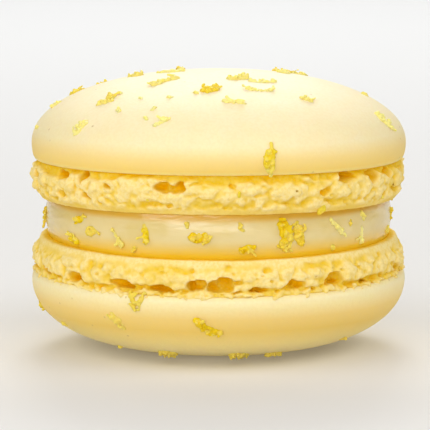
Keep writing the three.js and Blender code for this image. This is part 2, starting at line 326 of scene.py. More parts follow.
def painted_shade_skin(name, stops):
    """Satin skin, its colour with painted light and shade running with the height mask by (mask,
    colour) stops.
    """
    material, tree, shader = made_material(
        name, Roughness=0.62, Specular_IOR_Level=0.3, Subsurface_Weight=0.25,
        Subsurface_Radius=(1.0, 0.7, 0.25), Subsurface_Scale=0.0012,
    )
    specks = add(tree, "ShaderNodeGroup", {"node_tree": almond}, Size=0.0014, Share=0.14)
    # Painted light and shade: the colour runs with the height over the crease
    colour = ramped(tree, attribute(tree, "height"), stops)
    mottle = ranged(tree, specks.outputs["Mottle"], 0.3, 0.7, 0.0, 0.10)
    colour = mixed(tree, mottle, colour, SKIN_MOTTLE)
    grains = ranged(tree, specks.outputs["Grain"], 0.40, 0.64, 0.0, 0.13)
    colour = mixed(tree, grains, colour, SKIN_GRAIN)
    dots = maths(tree, "MULTIPLY", specks.outputs["Dots"], 0.65)
    colour = mixed(tree, dots, colour, SKIN_ALMOND)
    height = maths(tree, "SUBTRACT", specks.outputs["Grain"], specks.outputs["Dots"])
    dress(tree, shader, colour, height, 0.25, 0.00008)
    return material


def shell_body(shell, finish):
    """The dome's skin from its middle over the lip to the crease, and the core under the foot."""
    steps = np.linspace(0, 1, SKIN_ROWS)
    latitudes = np.concatenate([
        crown_latitude(shell) * (1 - steps[:-1] ** ROW_CROWDING),
        np.radians(np.linspace(0, -90, LIP_ROWS)),
    ])
    radius, height = skin_point(shell, latitudes)
    turn_radius, turn_height = np.transpose(CRUST_TURN)
    top = shell["foot_height"]
    radius = np.concatenate([radius, turn_radius, [CORE_RADIUS]])
    height = np.concatenate([height, top + turn_height, [CORE_BOTTOM]])
    z = shell["rim_z"] + shell["up"] * height
    longitude = np.arange(SKIN_SEGMENTS) * 2 * math.pi / SKIN_SEGMENTS
    around, height = np.meshgrid(longitude, height)
    flat = place(around, radius[:, None], z[:, None]).reshape(-1, 3)
    height = height.ravel()
    swell = SWELL_DEPTH * lattice_noise(flat, SWELL_WIDTH, shell["seed"])
    swell += DIMPLE_DEPTH * lattice_noise(flat, DIMPLE_WIDTH, DIMPLE_SEED)
    swell *= np.clip((height - SWELL_FROM) / SWELL_FADE, 0, 1)
    outward = flat[:, :2] / np.maximum(np.hypot(flat[:, 0], flat[:, 1]), 1e-6)[:, None]
    flat[:, :2] += outward * swell[:, None]
    flat = drooped(flat, shell, droop_share(shell, height))
    faces = lathe_faces(len(radius), SKIN_SEGMENTS)
    if shell["up"] > 0:
        faces = [face[::-1] for face in faces]
    points = np.vstack([flat, (0, 0, z[0]), (0, 0, z[-1])])
    body = new_piece(shell["name"] + "_body", points, faces, finish, shell["name"])
    over_crease = np.clip((height - top) / shell["dome_height"], 0, 1)
    set_mask(body, "height", [*over_crease, over_crease[0], over_crease[-1]])


# Each skin's colours hold painted shade towards the crease and painted light over the dome
shell_body(LOWER_SHELL, painted_shade_skin("lower_baked_skin", LOWER_SKIN_COLOURS))
shell_body(UPPER_SHELL, painted_shade_skin("upper_baked_skin", UPPER_SKIN_COLOURS))


# The feet: the ruffled rings of risen meringue between each skin and its rim. Batter swelled out in
# pillows over a smooth rim, and tore from the skin along a groove with burst bubbles in it. A ring is
# carved in a block of small cells, so that it has real overhangs and hollows.
RIM_RADIUS = 22.4
FOOT_RADIUS = 23.0
FOOT_FULLNESS = 0.7
RING_INSIDE = 20.1
# The ring goes on over the crease and inside the skin
SKIN_WALL = 0.45
SKIN_OVERLAP = 0.5
# The cream's side lies this far inside the rim
CREAM_INSET = 0.7
CELL = 0.155
# Room that the block has over and under the ring, more of it outside, and inside
MARGIN = 1.3
SIDE_ROOM = 0.3
BLOCK_WALL = 0.6
OUTLINE_STEPS = 1440
# Cells hold how far out they are up to this many cells from the surface, and near it noise is added
BAND_CELLS = 3
NEAR_CELLS = 2.5
# Levels run from 0 at the rim to 1 at the crease. The groove starts at the pillows' torn edge. Knobs
# cluster round a longitude, by a strength over so many degrees. Near the rim the crumb is smooth up
# to a height, and paler by a share that fades out between two levels, which takes painted shade off
# it there: painted light, most on the lower rim, which faces up into the light. The fringe is loose
# crumbs.
LOWER_FOOT = {
    "pillows_from": (0.14, 0.34), "edge": 0.80, "edge_stray": 0.13, "groove": 0.32, "ledge": 0.87,
    "dents": 0.30, "dent_depth": 0.36, "dent_share": -0.1, "smooth_rim": 0.9,
    "knobs": ((-75, 0.15, 12), (70, 0.1, 14)), "fringe": 560, "pale_rim": (0.55, 0.08, 0.34),
}
UPPER_FOOT = {
    "pillows_from": (0.04, 0.20), "edge": 0.84, "edge_stray": 0.14, "groove": 0.28, "ledge": 1.2,
    "dents": 0.26, "dent_depth": 0.42, "dent_share": -0.25, "smooth_rim": 0.35,
    "knobs": ((-62, 0.5, 22), (62, 0.3, 18)), "fringe": 0, "pale_rim": (0.1, 0.05, 0.16),
}
# Bubbles that burst in the groove: behind, one at about every so many degrees. Each is a rough bowl,
# deepest on one side.
BACK_HOLLOWS = (82, 280)
HOLLOW_PITCH = 11
HOLLOW_SPREAD = 1.1
HOLLOW_LEAN = 0.15
# Those behind are drawn between these: degrees aside, level, half width, half height and depth
BACK_HOLLOW_RANGES = ((-4, 4), (0.66, 0.84), (0.6, 1.4), (0.4, 0.7), (0.8, 1.6))
# The largest hollows, one by one: longitude, level, half width, half height and depth
LARGEST_HOLLOWS = {
    "lower_shell": (
        (-68, 0.79, 1.3, 0.45, 1.1), (-50, 0.76, 1.3, 0.55, 1.5), (-30.5, 0.74, 1.6, 0.6, 1.8),
        (-18, 0.82, 1.5, 0.45, 1.4), (-8.2, 0.70, 0.8, 0.6, 1.8), (-5.6, 0.66, 0.8, 0.7, 1.6),
        (-0.4, 0.71, 1.1, 0.75, 2.0), (2.2, 0.65, 1.1, 0.85, 2.1), (6, 0.62, 0.7, 0.25, 0.7),
        (12, 0.84, 1.4, 0.4, 1.0), (24, 0.71, 1.2, 0.6, 1.4), (37.5, 0.68, 1.4, 0.7, 1.6),
        (50, 0.88, 0.7, 0.35, 1.9), (72, 0.78, 1.2, 0.6, 1.1),
    ),
    "upper_shell": (
        (-57, 0.78, 1.2, 0.55, 1.6), (-45.7, 0.81, 0.7, 0.7, 1.5), (-36, 0.67, 0.65, 0.45, 1.0),
        (-57, 0.35, 0.6, 0.4, 0.7), (-44, 0.36, 0.6, 0.4, 0.7), (-16.8, 0.71, 0.95, 0.65, 1.8),
        (-14.4, 0.70, 0.5, 0.4, 1.5), (-12.0, 0.69, 0.85, 0.6, 1.7), (-6.5, 0.80, 0.8, 0.22, 0.6),
        (4, 0.76, 0.6, 0.25, 0.6), (34, 0.53, 0.75, 0.45, 1.0), (43, 0.86, 1.4, 0.55, 1.6),
        (55, 0.80, 1.0, 0.8, 1.6), (65, 0.80, 0.8, 0.6, 1.3), (-76, 0.72, 0.8, 0.5, 1.0),
    ),
}
# The largest knobs that swelled over the outline: longitude, level, half width, half height, rise
LARGEST_KNOBS = {
    "lower_shell": (
        (-40, 0.55, 1.2, 0.7, 0.1), (-12, 0.5, 1.4, 0.65, 0.1), (15, 0.5, 1.6, 0.7, 0.15),
        (31, 0.45, 1.0, 0.6, 0.15), (44, 0.5, 1.3, 0.75, 0.15), (62, 0.45, 1.3, 0.7, 0.1),
        (-62, 0.5, 1.3, 0.6, 0.1),
    ),
    "upper_shell": (
        (-88, 0.55, 0.9, 0.8, 0.35), (-77, 0.4, 0.95, 0.7, 0.5), (-67, 0.62, 0.9, 0.85, 0.5),
        (-51, 0.6, 0.8, 0.85, 0.5), (-40.5, 0.6, 0.85, 0.75, 0.5), (-62, 0.3, 0.75, 0.5, 0.4),
        (-50, 0.27, 0.75, 0.5, 0.35), (-38, 0.3, 0.75, 0.5, 0.3), (-27, 0.66, 1.4, 0.9, 0.2),
        (-3, 0.55, 1.1, 0.7, 0.2), (9, 0.6, 1.2, 0.7, 0.2), (22, 0.58, 1.5, 0.75, 0.2),
        (41, 0.5, 1.2, 0.7, 0.2), (51, 0.6, 1.0, 0.8, 0.15), (73, 0.55, 1.1, 0.9, 0.1),
    ),
}
# Pillows: how far large and small ones stand out and how wide they are, how much more they rise where
# knobs cluster, how much wider than high they are, and the level of the creases
PILLOW_RISE = 0.72
PILLOW_WIDTH = 2.6
SMALL_PILLOW_RISE = 0.26
SMALL_PILLOW_WIDTH = 1.15
KNOB_RISE = 0.3
PILLOW_FLATNESS = 1.35
PILLOW_LEVEL = 0.36
RELIEF_LEVEL = -0.10
# How the crumb strays from that, by one or more noises: strength, size and draw of each
EDGE_STRAYS = ((0.7, 2.6, 0), (0.5, 0.9, 1))
GROOVE_STRAYS = ((0.45, 1.3, 4),)
FLAKES = ((1, 0.75, 5),)
DENT_ROW_STRAYS = ((0.1, 1.0, 14),)
DENTS = ((1, 1.2, 6),)
HOLLOW_STRAYS_ROUND = ((0.4, 0.9, 7),)
HOLLOW_STRAYS_UP = ((0.3, 0.9, 8),)
HOLLOW_DEPTH_STRAYS = ((0.2, 0.7, 9),)
LEDGE_EDGE_STRAYS = ((0.08, 1.7, 10), (0.09, 0.5, 12))
LEDGE_STRAYS = ((0.2, 0.5, 11), (0.12, 1.3, 13))
# Where one kind of crumb gives way to the next, in levels, and the height of the row of dents
EDGE_SOFTNESS = 0.05
LEDGE_SOFTNESS = 0.025
DENT_ROW_HEIGHT = 0.08
DENT_SOFTNESS = 0.45
FLAKE_SHARE = 0.1
FLAKE_RISE = 0.4
LEDGE_RISE = 0.05
# In cells of the pillows: how far out a pillow falls away, and how wide and deep its crease is
PILLOW_REACH = 0.85
CREASE_WIDTH = 0.3
CREASE_DEPTH = 0.45


def smooth_step(low, high, value):
    share = np.clip((value - low) / (high - low), 0, 1)
    return share * share * (3 - 2 * share)


def uneven(value, points, seed, strays):
    """A value that strays by noises, each with its strength, size and draw."""
    return sum((strength * lattice_noise(points, size, seed + draw)
                for strength, size, draw in strays), value)


def pillow_noise(points, size, seed):
    """Rounded pillows of a given size, 1 at their tops and 0 in the creases between them."""
    scaled = points / size
    corner = np.floor(scaled).astype(np.int64)
    nearest = np.full(len(points), np.inf)
    second = nearest
    for step in np.ndindex(3, 3, 3):
        cell = corner + step - 1
        number = hashed(cell, seed)
        away = np.zeros(len(points))
        for axis in range(3):
            number, value = next_draw(number)
            away += (scaled[:, axis] - (cell[:, axis] + value / 0xFFFF)) ** 2
        second = np.minimum(second, np.maximum(nearest, away))
        nearest = np.minimum(nearest, away)
    crease = np.sqrt(np.clip((second - nearest) / CREASE_WIDTH, 0, 1))
    dome = np.sqrt(np.clip(1 - nearest / PILLOW_REACH, 0, 1))
    return dome * (1 - CREASE_DEPTH + CREASE_DEPTH * crease)


def foot_radius(level):
    """The foot's smooth outline: it swells from its rim and draws in again to the crease."""
    level = np.clip(level, 0, 1)
    start = RIM_RADIUS + (CREASE_RADIUS - RIM_RADIUS) * level
    swell = FOOT_RADIUS - (RIM_RADIUS + CREASE_RADIUS) / 2
    return start + swell * np.maximum(np.sin(math.pi * level), 0) ** FOOT_FULLNESS


def hollows_of(shell):
    """The largest hollows in front, and behind others by the shell's own draws."""
    yield from LARGEST_HOLLOWS[shell["name"]]
    chance = np.random.default_rng(shell["seed"] + 5)
    for degrees in np.arange(*BACK_HOLLOWS, HOLLOW_PITCH):
        aside, *hollow = (chance.uniform(*bounds) for bounds in BACK_HOLLOW_RANGES)
        yield degrees + aside, *hollow


def degrees_from(longitude, degrees):
    """How many degrees longitudes lie past a given one, from -180 to 180."""
    return (np.degrees(longitude) - degrees + 180) % 360 - 180


def hollow_depth(shell, longitude, level, points):
    """How deep the burst bubbles go at each point."""
    stray_round = uneven(0, points, shell["seed"], HOLLOW_STRAYS_ROUND)
    stray_up = uneven(0, points, shell["seed"], HOLLOW_STRAYS_UP)
    rough = uneven(1, points, shell["seed"], HOLLOW_DEPTH_STRAYS)
    deepest = np.zeros(len(points))
    for degrees, middle, across, tall, depth in hollows_of(shell):
        aside = (np.radians(degrees_from(longitude, degrees)) * FOOT_RADIUS + stray_round) / across
        above = ((level - middle) * shell["foot_height"] + stray_up) / tall
        bowl = np.sqrt(np.clip(1 - (np.hypot(aside, above) / HOLLOW_SPREAD) ** 2, 0, 1))
        deepest = np.maximum(deepest, depth * (rough - HOLLOW_LEAN * aside) * bowl)
    return deepest


def foot_relief(shell, foot, longitudes, z):
    """How far the crumb stands out of the smooth outline, for each longitude and height."""
    around, up_rim = np.meshgrid(longitudes, z, indexing="ij")
    points = place(around, FOOT_RADIUS, up_rim).reshape(-1, 3)
    longitude = around.ravel()
    level = np.clip(up_rim / shell["foot_height"], 0, 1).ravel()
    flatter = points * (1, 1, PILLOW_FLATNESS)
    seed = shell["seed"]
    # The pillows end at a ragged edge, over which the groove runs
    edge = foot["edge"] + foot["edge_stray"] * uneven(0, points * (1, 1, 0), seed, EDGE_STRAYS)
    in_groove = smooth_step(edge - EDGE_SOFTNESS, edge + EDGE_SOFTNESS, level)
    on_pillows = smooth_step(*foot["pillows_from"], level) * (1 - in_groove)
    knobs = np.zeros(len(points))
    for degrees, strength, spread in foot["knobs"]:
        knobs += strength * np.exp(-((degrees_from(longitude, degrees) / spread) ** 2))
    pillows = (PILLOW_RISE + KNOB_RISE * knobs) * pillow_noise(flatter, PILLOW_WIDTH, seed + 2)
    pillows += SMALL_PILLOW_RISE * pillow_noise(flatter, SMALL_PILLOW_WIDTH, seed + 3)
    relief = RELIEF_LEVEL + on_pillows * (pillows - PILLOW_LEVEL)
    # The groove is rough too, with flakes that hang on in it
    relief -= in_groove * foot["groove"] * uneven(1, points, seed, GROOVE_STRAYS)
    relief += in_groove * FLAKE_RISE * np.clip(uneven(-FLAKE_SHARE, flatter, seed, FLAKES), 0, 1)
    # Low on the pillows lies a broken row of dents
    row_level = uneven(foot["dents"], points, seed, DENT_ROW_STRAYS)
    row = np.exp(-(((level - row_level) / DENT_ROW_HEIGHT) ** 2))
    dents = smooth_step(0, DENT_SOFTNESS, uneven(-foot["dent_share"], points, seed, DENTS))
    relief -= foot["dent_depth"] * row * dents
    relief -= hollow_depth(shell, longitude, level, points)
    # Along the skin a torn ledge of crumb stands out again
    torn = uneven(level, points, seed, LEDGE_EDGE_STRAYS)
    on_ledge = smooth_step(foot["ledge"] - LEDGE_SOFTNESS, foot["ledge"] + LEDGE_SOFTNESS, torn)
    ledge = uneven(LEDGE_RISE, points, seed, LEDGE_STRAYS)
    relief += on_ledge * (np.maximum(relief, ledge) - relief)
    return relief.reshape(around.shape)


def egg_distance(along, across, over, sizes):
    """About how far points lie outside an egg shape with three half sizes."""
    near = np.sqrt((along / sizes[0]) ** 2 + (across / sizes[1]) ** 2 + (over / sizes[2]) ** 2)
    slope = np.sqrt(
        (along / sizes[0] ** 2) ** 2 + (across / sizes[1] ** 2) ** 2 + (over / sizes[2] ** 2) ** 2
    )
    return near * (near - 1) / np.maximum(slope, 1e-6)


def grown(outside, egg, soft):
    """A block with an egg joined to it, with a fillet between them."""
    blend = np.clip(0.5 + 0.5 * (outside - egg) / soft, 0, 1)
    return outside + (egg - outside) * blend - soft * blend * (1 - blend)


def scooped(outside, egg, soft):
    """A block with an egg taken out of it."""
    return -grown(-outside, egg, soft)


def surface_of(outside, cell, start, adaptivity):
    """Points and faces of the surface where a block of cells turns from inside to outside."""
    band = BAND_CELLS * cell
    grid = vdb.FloatGrid(band)
    grid.copyFromArray(np.ascontiguousarray(np.clip(outside, -band, band), np.float32))
    corners, triangles, quads = grid.convertToPolygons(0.0, adaptivity)
    points = np.asarray(corners, float) * cell + start
    return points, [tuple(map(int, face)) for face in (*quads, *triangles)]


# Roughness of the crumb: depths and sizes, how far in from the rim it goes, and over what height it
# fades in from its share at the smooth rim
ROUGHNESS = ((0.14, 0.75), (0.10, 0.38))
ROUGH_DEPTH = 2.2
ROUGH_FADE = 0.6
RIM_ROUGHNESS = 0.2
# Painted shade on the crumb, golden where it lies in shade: from standing this far out of the outline,
# over this much further in, and by the share of crumb around it
PROUD_CRUMB = 0.3
SUNK_CRUMB = 0.85
SHUT_IN_REACH = 0.4
SHUT_IN_FROM = 0.44
SHUT_IN_SPAN = 0.26
SHUT_IN_GOLD = 0.45
DEEP_IN_REACH = 0.8
TOUCH = 0.1


class Ring:
    """A block of cells round a foot. Each holds how far it is outside the crumb, in mm."""

    def __init__(self, shell, foot):
        self.shell = shell
        self.pale_rim = foot["pale_rim"]
        reach = FOOT_RADIUS + MARGIN + SIDE_ROOM
        self.x = np.arange(-reach, reach, CELL)
        self.z = np.arange(-MARGIN, shell["foot_height"] + MARGIN, CELL)
        self.radius = np.hypot(self.x[:, None], self.x[None, :])
        i, j = np.nonzero((self.radius > RING_INSIDE - BLOCK_WALL) & (self.radius < reach))
        block = len(self.x), len(self.x), len(self.z)
        self.outside = np.full(block, BAND_CELLS * CELL, np.float32)
        radius = self.radius[i, j][:, None]
        longitudes = np.arange(OUTLINE_STEPS) * 2 * math.pi / OUTLINE_STEPS
        self.relief = foot_relief(shell, foot, longitudes, self.z)
        step = np.arctan2(self.x[i], -self.x[j]) / (2 * math.pi) % 1 * OUTLINE_STEPS
        first = step.astype(int) % OUTLINE_STEPS
        share = (step - step.astype(int))[:, None]
        following = (first + 1) % OUTLINE_STEPS
        relief = self.relief[first] * (1 - share) + self.relief[following] * share
        beyond = radius - foot_radius(self.z / shell["foot_height"])[None, :] - relief
        top = self.z[None, :] - shell["foot_height"]
        in_skin = np.maximum(beyond, radius - (CREASE_RADIUS - SKIN_WALL))
        beyond = np.where(top > 0, in_skin, beyond)
        ends = np.maximum(-self.z[None, :], top - SKIN_OVERLAP)
        self.outside[i, j] = np.maximum(np.maximum(beyond, ends), RING_INSIDE - radius)

    def stands_out(self, longitude, level):
        """How far the relief stands out of the smooth outline at a place."""
        step = round(longitude / (2 * math.pi) * OUTLINE_STEPS) % OUTLINE_STEPS
        return self.relief[step, np.searchsorted(self.z, level * self.shell["foot_height"])]

    def stamp(self, longitude, level, sizes, proud, shape, soft, lean=0.0):
        """Grows or scoops an egg of half width, half depth and half height on the outline."""
        radius = float(foot_radius(level)) + proud
        centre = (radius * math.sin(longitude), -radius * math.cos(longitude),
                  level * self.shell["foot_height"])
        reach = max(sizes) + 3 * soft + CELL
        spans = []
        offsets = []
        for axis, at in zip((self.x, self.x, self.z), centre):
            low = max(0, int((at - reach - axis[0]) / CELL))
            high = min(len(axis), int((at + reach - axis[0]) / CELL) + 2)
            spans.append(slice(low, high))
            offsets.append(axis[low:high] - at)
        spans = tuple(spans)
        if 0 in self.outside[spans].shape:
            return
        dx, dy, dz = np.ix_(*offsets)
        round_way = dx * math.cos(longitude) + dy * math.sin(longitude) + lean * dz
        out_way = dx * math.sin(longitude) - dy * math.cos(longitude)
        egg = egg_distance(round_way, out_way, dz, sizes)
        self.outside[spans] = shape(self.outside[spans], egg, soft)

    def roughen(self, depth, size, seed, low_z):
        """Moves the surface in and out by noise, and the smooth rim less."""
        outer = self.radius[:, :, None] > RIM_RADIUS - ROUGH_DEPTH
        near = np.nonzero((np.abs(self.outside) < NEAR_CELLS * CELL) & outer)
        points = np.stack([self.x[near[0]], self.x[near[1]], self.z[near[2]]], axis=-1)
        share = np.clip((points[:, 2] - low_z) / ROUGH_FADE, RIM_ROUGHNESS, 1)
        self.outside[near] += depth * share * lattice_noise(points, size, seed)

    def crumb_share(self, reach):
        """The share of crumb, skin and cream round each cell, for how shut in it lies."""
        inside = (self.outside < 0).astype(np.float32)
        radius = self.radius[:, :, None]
        inside[(self.z > self.shell["foot_height"]) & (radius < SKIN_RADIUS - TOUCH)] = 1
        inside[(self.z < 0) & (radius < RIM_RADIUS - CREAM_INSET)] = 1
        inside[np.broadcast_to(radius < RING_INSIDE + TOUCH, inside.shape)] = 1
        width = 2 * round(reach / CELL) + 1
        for axis in (0, 0, 1, 1, 2, 2):
            pad = [(0, 0)] * 3
            pad[axis] = (width // 2 + 1, width // 2)
            total = np.cumsum(np.pad(inside, pad, mode="edge"), axis=axis, dtype=np.float32)
            total = np.moveaxis(total, axis, 0)
            inside = np.moveaxis((total[width:] - total[:-width]) / width, 0, axis)
        return inside

    def shade(self, points):
        """Painted shade on the crumb, 0 to 1: more, the further in and the more shut in it lies."""
        level = points[:, 2] / self.shell["foot_height"]
        sunk = foot_radius(level) + PROUD_CRUMB - np.hypot(points[:, 0], points[:, 1])
        # Painted light: near the rim the painted shade is lessened by a share
        paler, low, high = self.pale_rim
        sunk = np.clip(sunk / SUNK_CRUMB, 0, 1) - paler * (1 - smooth_step(low, high, level))
        shut_in = (self.read(self.crumb_share(SHUT_IN_REACH), points) - SHUT_IN_FROM) / SHUT_IN_SPAN
        return np.clip(SHUT_IN_GOLD * np.clip(shut_in, 0, 1) + (1 - SHUT_IN_GOLD) * sunk, 0, 1)

    def read(self, cells, points):
        """A block's values at points, blended from the eight cells round each."""
        last_corner = np.array(cells.shape) - 2
        along = (points - (self.x[0], self.x[0], self.z[0])) / CELL
        corner = np.clip(along.astype(int), 0, last_corner)
        share = np.clip(along - corner, 0, 1)
        total = np.zeros(len(points))
        for step, counts in corner_shares(share):
            total += counts * cells[tuple((corner + step).T)]
        return total


# Knobs are this deep and sit this far in; loose crumbs stand along the crease and flare out over it;
# pores are pricked in the pillows
KNOB_DEPTH = 0.6
KNOB_SUNK = 0.25
KNOB_FILLET = 0.3
FRINGE_SIZES = (0.14, 0.18, 0.24, 0.34)
FRINGE_WIDTHS = (0.9, 1.7)
FRINGE_HEIGHTS = (0.6, 1.0)
FRINGE_LEVELS = (0.94, 1.07)
FRINGE_PROUD = (-0.2, 0.1)
FRINGE_FLARE = 3.2
FRINGE_LEAN = 0.8
FRINGE_FILLET = 0.06
PORES = 260
PORE_SIZES = (0.16, 0.27)
PORE_WIDTHS = (1, 1.6)
PORE_DEPTH = 0.7
PORE_HEIGHT = 0.8
PORE_LEVELS = (0.14, 0.6)
PORE_PROUD = (-0.02, 0.1)
PORE_FILLET = 0.1


def carve_foot(shell, foot):
    """A shell's ring: its relief, then knobs, crumbs along the crease, roughness and pores."""
    ring = Ring(shell, foot)
    for degrees, level, across, tall, rise in LARGEST_KNOBS[shell["name"]]:
        ring.stamp(math.radians(degrees), level, (across, KNOB_DEPTH, tall), rise - KNOB_SUNK,
                   grown, KNOB_FILLET)
    chance = np.random.default_rng(shell["seed"])
    for _ in range(foot["fringe"]):
        size = chance.choice(FRINGE_SIZES)
        level = chance.uniform(*FRINGE_LEVELS)
        longitude = chance.uniform(0, 2 * math.pi)
        sizes = (size * chance.uniform(*FRINGE_WIDTHS), size, size * chance.uniform(*FRINGE_HEIGHTS))
        proud = chance.uniform(*FRINGE_PROUD) + FRINGE_FLARE * max(0.0, level - 1)
        lean = chance.uniform(-FRINGE_LEAN, FRINGE_LEAN)
        ring.stamp(longitude, level, sizes, proud, grown, FRINGE_FILLET, lean)
    for step, (depth, size) in enumerate(ROUGHNESS):
        ring.roughen(depth, size, shell["seed"] + step, foot["smooth_rim"])
    for _ in range(PORES):
        size = chance.uniform(*PORE_SIZES)
        longitude = chance.uniform(0, 2 * math.pi)
        level = chance.uniform(*PORE_LEVELS)
        sizes = (size * chance.uniform(*PORE_WIDTHS), size * PORE_DEPTH, size * PORE_HEIGHT)
        proud = ring.stands_out(longitude, level) + chance.uniform(*PORE_PROUD)
        ring.stamp(longitude, level, sizes, proud, scooped, PORE_FILLET)
    return ring


# Painted shade on the crumb: pale on what stands proud, golden between, and deep orange inside the
# hollows, where shade falls
CRUMB_COLOURS = (
    (0.02, (0.96, 0.77, 0.33)), (0.22, (0.93, 0.69, 0.18)), (0.45, (0.87, 0.61, 0.08)),
    (0.72, (0.86, 0.57, 0.03)), (1.0, (0.87, 0.54, 0.008)),
)
CRUMB_GRAIN = (0.88, 0.63, 0.11, 1)
CRUMB_ORANGE = (0.91, 0.53, 0.0, 1)
CRUMB_ALMOND = (0.70, 0.46, 0.03, 1)


def foot_finish():
    material, tree, shader = made_material(
        "foot_crumb", Roughness=0.85, Specular_IOR_Level=0.05, Subsurface_Weight=0.1,
        Subsurface_Radius=(1.0, 0.8, 0.3), Subsurface_Scale=0.0005,
    )
    specks = add(tree, "ShaderNodeGroup", {"node_tree": almond}, Size=0.0009, Share=0.12)
    mottle = ranged(tree, specks.outputs["Mottle"], 0.3, 0.7, -0.10, 0.12)
    # Painted shade: the crumb turns golden by the shade mask
    colour = ramped(tree, maths(tree, "ADD", attribute(tree, "shade"), mottle), CRUMB_COLOURS)
    grains = ranged(tree, specks.outputs["Grain"], 0.42, 0.62, 0.0, 0.4)
    colour = mixed(tree, grains, colour, CRUMB_GRAIN)
    # Painted shade: deep orange where the crumb is shut in, inside the hollows
    colour = mixed(tree, ranged(tree, attribute(tree, "deep_in"), 0.66, 0.82), colour, CRUMB_ORANGE)
    dots = maths(tree, "MULTIPLY", specks.outputs["Dots"], 0.3)
    colour = mixed(tree, dots, colour, CRUMB_ALMOND)
    dress(tree, shader, colour, specks.outputs["Grain"], 0.6, 0.00012)
    return material


foot_crumb = foot_finish()
# How readily nearly flat crumb is left in larger faces
CRUMB_ADAPTIVITY = 0.03


def shell_foot(shell, foot):
    ring = carve_foot(shell, foot)
    start = (ring.x[0], ring.x[0], ring.z[0])
    local, faces = surface_of(ring.outside, CELL, start, CRUMB_ADAPTIVITY)
    points = local.copy()
    points[:, 2] = shell["rim_z"] + shell["up"] * local[:, 2]
    points = drooped(points, shell, 1.0)
    if shell["up"] < 0:
        faces = [face[::-1] for face in faces]
    piece = new_piece(shell["name"] + "_foot", points, faces, foot_crumb, shell["name"])
    # Masks for the painted shade: how sunk and shut in the crumb is, and how deep in a hollow
    set_mask(piece, "shade", ring.shade(local))
    set_mask(piece, "deep_in", ring.read(ring.crumb_share(DEEP_IN_REACH), local))


shell_foot(LOWER_SHELL, LOWER_FOOT)
shell_foot(UPPER_SHELL, UPPER_FOOT)


# The filling: a disc of smooth lemon cream, glossy and a little translucent. It was piped on the
# lower shell and pressed out by the upper one until it bulged between the rims.
FILLING_HEIGHT = UPPER_RIM_Z - LOWER_RIM_Z
FILLING_RADIUS = 21.35
FILLING_BULGE = 0.4
# Waves round its side: how many, how deep, and where they start
FILLING_WAVES = ((3, 0.12, 1.0), (7, 0.07, 2.0))
FILLING_SEGMENTS = 384
FILLING_ROWS = 44
FILLING_SUNK = 0.12
# Painted shade: it turns golden between these heights over the lower rim, on its lower part, which
# faces down onto the lower foot, and these depths under the upper one, which overhangs it
SHADE_OVER_LOWER_RIM = (2.6, 0.4)
SHADE_UNDER_UPPER_RIM = (1.3, 0.5)
CREAM_PALE = (0.80, 0.65, 0.30, 1)
CREAM_STREAK = (0.76, 0.60, 0.23, 1)
CREAM_SHADE_LOW = (0.88, 0.56, 0.02, 1)
CREAM_SHADE_HIGH = (0.80, 0.50, 0.06, 1)


def filling_radius(longitude, height):
    """The cream's outline, which wanders a little round the macaron."""
    belly = np.maximum(np.sin(np.pi * np.clip(height / FILLING_HEIGHT, 0, 1)), 0)
    wave = sum(depth * np.sin(turns * longitude + phase) for turns, depth, phase in FILLING_WAVES)
    return FILLING_RADIUS + (FILLING_BULGE + wave) * belly


def filling_point(longitude, height):
    """A point on the side of the cream, which the drooping rims squeeze at the two sides."""
    middle = FILLING_HEIGHT / 2
    squeezed = middle + (height - middle) * (1 - rim_droop(longitude) / middle)
    return place(longitude, filling_radius(longitude, height), LOWER_RIM_Z + squeezed)


def cream_finish():
    material, tree, shader = made_material(
        "lemon_cream", Roughness=0.21, Specular_IOR_Level=0.75, Subsurface_Weight=0.25,
        Subsurface_Radius=(1.0, 0.8, 0.35), Subsurface_Scale=0.0008,
    )
    where = add(tree, "ShaderNodeTexCoord").outputs["Object"]
    height = add(tree, "ShaderNodeSeparateXYZ", None, _0=where).outputs[2]
    # Painted shade towards both rims
    low = ranged(tree, height, *((LOWER_RIM_Z + over) * MM for over in SHADE_OVER_LOWER_RIM))
    high = ranged(tree, height, *((UPPER_RIM_Z - under) * MM for under in SHADE_UNDER_UPPER_RIM))
    clouds = add(tree, "ShaderNodeTexNoise", None, Vector=where, Scale=260.0, Detail=2.0)
    streaks = ranged(tree, clouds.outputs[0], 0.35, 0.65)
    colour = mixed(tree, streaks, CREAM_PALE, CREAM_STREAK)
    colour = mixed(tree, low, colour, CREAM_SHADE_LOW)
    colour = mixed(tree, high, colour, CREAM_SHADE_HIGH)
    # Spreading left level ripples in it, so its gloss is broken into streaks
    level_way = add(tree, "ShaderNodeMapping", None, Vector=where, Scale=(260.0, 260.0, 800.0))
    ripples = add(tree, "ShaderNodeTexNoise", None, Vector=level_way.outputs[0], Scale=1.0,
                  Detail=3.0)
    dress(tree, shader, colour, ripples.outputs[0], 0.4, 0.0003)
    return material


def cream_disc():
    heights = np.linspace(0, FILLING_HEIGHT, FILLING_ROWS)
    longitude = np.arange(FILLING_SEGMENTS) * 2 * math.pi / FILLING_SEGMENTS
    side = filling_point(longitude[None, :], heights[:, None]).reshape(-1, 3)
    side[:FILLING_SEGMENTS, 2] -= FILLING_SUNK
    side[-FILLING_SEGMENTS:, 2] += FILLING_SUNK
    points = np.vstack([side, (0, 0, LOWER_RIM_Z - FILLING_SUNK), (0, 0, UPPER_RIM_Z + FILLING_SUNK)])
    faces = lathe_faces(FILLING_ROWS, FILLING_SEGMENTS)
    new_piece("cream", points, faces, cream_finish(), "filling")


cream_disc()


# The zest: strips of lemon peel from a fine grater, bright yellow outside, with pale pith at some
# ends. They were scattered over the macaron while the cream was soft, and lie where they fell,
# slightly curled, a little way into what they lie on.

# Thickness of a strip a millimetre wide, and the share of it that lies sunk
ZEST_THICKNESS = 0.66
THINNEST_WIDTH = 0.75
SHELL_SINK = 0.76
CREAM_SINK = 0.84
